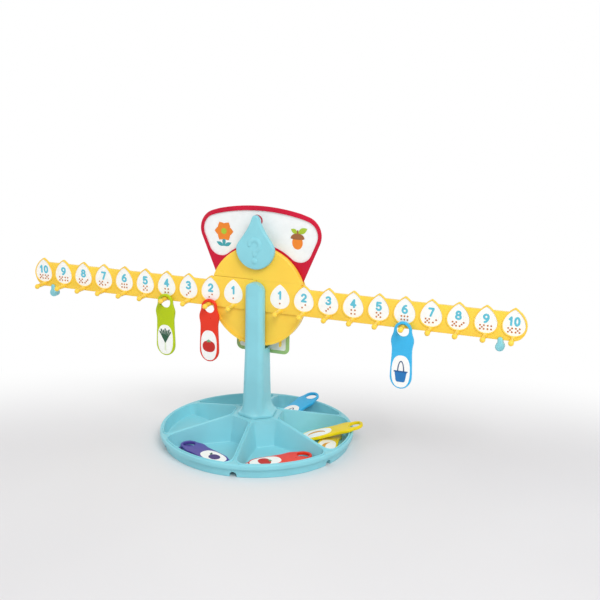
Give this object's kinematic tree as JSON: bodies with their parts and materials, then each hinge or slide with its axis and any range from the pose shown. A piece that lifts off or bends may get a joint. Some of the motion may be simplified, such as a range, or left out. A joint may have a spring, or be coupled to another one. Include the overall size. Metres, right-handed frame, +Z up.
{
  "type": "math balance",
  "caption": "Numbered beam with pegs that tips on a forked post over a round pocketed tray, with hanging counting tokens, a pointer, an upright sign and a question card.",
  "frame": {"origin": "on the table surface, straight below the beam's pivot, at the axis of the round tray, 421 mm beam centred on it", "axes": "+Z up, +X along the beam to the right as seen from the front, the front with the pegs and numbers faces -Y"},
  "size_m": [0.421, 0.1617, 0.1922],
  "materials": {
    "yellow_plastic": "moulded, satin gloss",
    "turquoise_plastic": "moulded, satin gloss",
    "crimson_plastic": "moulded, satin gloss",
    "white_card": "printed sheet, matt",
    "green_edged_card": "printed card, matt",
    "white_nylon": "plain moulded bearing",
    "zinc_steel": "zinc plated",
    "lime_plastic": "moulded, satin gloss",
    "red_plastic": "moulded, satin gloss",
    "blue_plastic": "moulded, satin gloss",
    "bright_yellow_plastic": "moulded, satin gloss",
    "purple_plastic": "moulded, satin gloss"
  },
  "bodies": {
    "stand": {"tray": "turquoise_plastic", "post": "turquoise_plastic", "post_screw_1": "zinc_steel", "post_screw_2": "zinc_steel", "post_screw_3": "zinc_steel", "axle": "turquoise_plastic", "pointer": "turquoise_plastic"},
    "beam": {"left_arm": "yellow_plastic", "right_arm": "yellow_plastic", "hub_front": "yellow_plastic", "hub_rear": "yellow_plastic", "hub_bush": "white_nylon", "ballast": "zinc_steel", "hub_screw_left_low": "zinc_steel", "hub_screw_left_high": "zinc_steel", "hub_screw_right_low": "zinc_steel", "hub_screw_right_high": "zinc_steel", "sign_frame": "crimson_plastic", "sign_panel": "white_card"},
    "card": {"question_card": "green_edged_card"},
    "left_rider": {"left_rider": "turquoise_plastic"},
    "right_rider": {"right_rider": "turquoise_plastic"},
    "lime_token": {"lime_token": "lime_plastic"},
    "red_token": {"red_token": "red_plastic"},
    "blue_token": {"blue_token": "blue_plastic"},
    "tray_red_pile": {"tray_red_low": "red_plastic", "tray_red_high": "red_plastic"},
    "tray_purple_pile": {"tray_purple_low": "purple_plastic", "tray_purple_high": "purple_plastic"},
    "tray_yellow_low": {"tray_yellow_low": "bright_yellow_plastic"},
    "tray_yellow_high": {"tray_yellow_high": "bright_yellow_plastic"},
    "tray_blue": {"tray_blue": "blue_plastic"}
  },
  "joints": [
    {"name": "beam_tilt", "type": "hinge", "parent": "stand", "child": "beam", "pos_m": [0, 0, 0.121], "axis": [0, 1, 0], "range_deg": [-10, 10]},
    {"name": "card_lift", "type": "slide", "parent": "beam", "child": "card", "axis": [0, 0, 1], "range_m": [-0.005, 0.045]},
    {"name": "left_rider_slide", "type": "slide", "parent": "beam", "child": "left_rider", "axis": [1, 0, 0], "range_m": [-0.003, 0.005]},
    {"name": "right_rider_slide", "type": "slide", "parent": "beam", "child": "right_rider", "axis": [1, 0, 0], "range_m": [-0.005, 0.003]},
    {"name": "lime_token_swing", "type": "hinge", "parent": "beam", "child": "lime_token", "pos_m": [-0.08, -0.0064, 0.1116], "axis": [0, 1, 0], "range_deg": [-12, 40]},
    {"name": "red_token_swing", "type": "hinge", "parent": "beam", "child": "red_token", "pos_m": [-0.04, -0.0064, 0.1116], "axis": [0, 1, 0], "range_deg": [-12, 10]},
    {"name": "blue_token_swing", "type": "hinge", "parent": "beam", "child": "blue_token", "pos_m": [0.12, -0.0064, 0.1116], "axis": [0, 1, 0], "range_deg": [-40, 40]},
    {"name": "tray_red_pile_lift", "type": "slide", "parent": "stand", "child": "tray_red_pile", "axis": [0, 0, 1], "range_m": [0, 0.02]},
    {"name": "tray_purple_pile_lift", "type": "slide", "parent": "stand", "child": "tray_purple_pile", "axis": [0, 0, 1], "range_m": [0, 0.02]},
    {"name": "tray_yellow_low_lift", "type": "slide", "parent": "stand", "child": "tray_yellow_low", "axis": [0, 0, 1], "range_m": [0, 0.02]},
    {"name": "tray_yellow_high_lift", "type": "slide", "parent": "tray_yellow_low", "child": "tray_yellow_high", "axis": [0, 0, 1], "range_m": [0, 0.02]},
    {"name": "tray_blue_lift", "type": "slide", "parent": "stand", "child": "tray_blue", "axis": [0, 0, 1], "range_m": [0, 0.02]}
  ]
}
